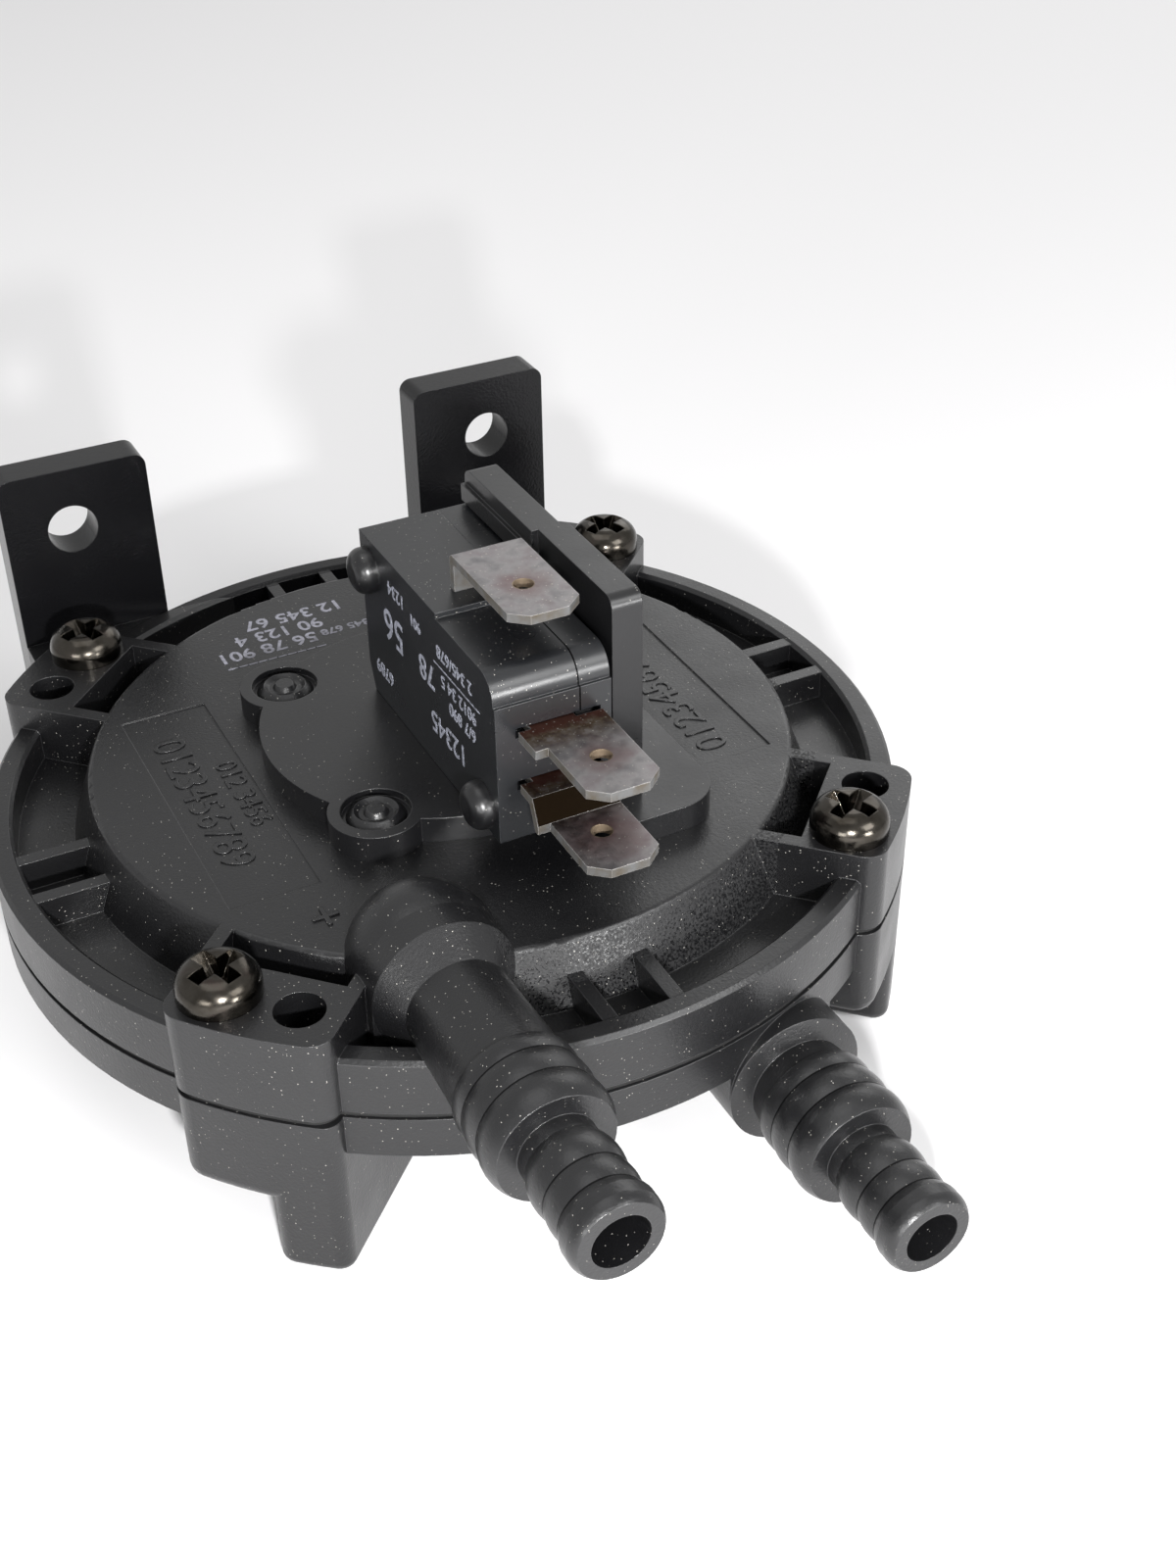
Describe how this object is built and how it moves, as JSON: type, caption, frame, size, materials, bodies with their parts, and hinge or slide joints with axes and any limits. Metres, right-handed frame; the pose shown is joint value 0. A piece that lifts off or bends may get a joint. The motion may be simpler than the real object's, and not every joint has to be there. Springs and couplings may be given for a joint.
{
  "type": "differential pressure switch",
  "caption": "Differential pressure switch: a round two-shell plastic housing clamps a diaphragm that lifts a pin against a snap switch; two stepped hose ports, mounting ears and feet.",
  "frame": {"origin": "on the housing's axis, in the plane of the feet's undersides, at the centre of the circle of the four lug holes", "axes": "+Z is the housing's axis, up from the feet to the snap switch; -Y is the way both hose ports point, and the two mounting ears stand at +Y; +X is to the right seen from the ports, where the lower port is"},
  "size_m": [0.0812, 0.1014, 0.0463],
  "materials": {
    "housing_plastic": "textured black glass-filled plastic, semi-matte",
    "bracket_plastic": "black moulded plastic with a soft sheen",
    "switch_plastic": "dark grey-black thermoset plastic",
    "diaphragm_rubber": "black sheet rubber",
    "seal_rubber": "black rubber",
    "plate_metal": "stamped, plain",
    "pin_plastic": "natural plastic",
    "bush_brass": "turned",
    "spring_steel": "bright drawn wire",
    "screw_steel": "blackened steel with a lacquered gloss",
    "plunger_plastic": "smooth moulded plastic",
    "terminal_metal": "tin-plated, tarnished brown near the case and the holes",
    "contact_metal": "silver contact, plain",
    "blade_metal": "thin copper alloy spring strip"
  },
  "bodies": {
    "housing": {"upper_housing": "housing_plastic", "lower_housing": "housing_plastic", "diaphragm": "diaphragm_rubber", "pin_bush": "bush_brass", "pin_seal": "seal_rubber", "return_spring": "spring_steel", "housing_screws": "screw_steel", "switch_bracket": "bracket_plastic", "switch_case": "switch_plastic", "switch_cover": "switch_plastic", "common_terminal": "terminal_metal", "normally_open_terminal": "terminal_metal", "normally_closed_terminal": "terminal_metal", "open_contact": "contact_metal", "closed_contact": "contact_metal"},
    "diaphragm_group": {"upper_plate": "plate_metal", "lower_plate": "plate_metal", "actuator_pin": "pin_plastic"},
    "plunger": {"switch_plunger": "plunger_plastic"},
    "blade": {"contact_blade": "blade_metal", "moving_contact": "contact_metal", "snap_spring": "blade_metal"}
  },
  "joints": [
    {"name": "diaphragm_stroke", "type": "slide", "parent": "housing", "child": "diaphragm_group", "axis": [0, 0, 1], "range_m": [0, 0.0008], "stiffness_N_per_m": 250, "springref_m": -0.001, "deforming": ["diaphragm", "return_spring"]},
    {"name": "plunger_travel", "type": "slide", "parent": "housing", "child": "plunger", "axis": [0, 0, 1], "range_m": [0, 0.0008]},
    {"name": "contact_swing", "type": "hinge", "parent": "housing", "child": "blade", "pos_m": [0, 0.0041, 0.0342], "axis": [-1, 0, 0], "range_deg": [0, 2.85]}
  ],
  "couplings": [
    {"joint": "plunger_travel", "follows": "diaphragm_stroke", "ratio": 1},
    {"joint": "contact_swing", "follows": "diaphragm_stroke", "rad_per_m": 62}
  ]
}
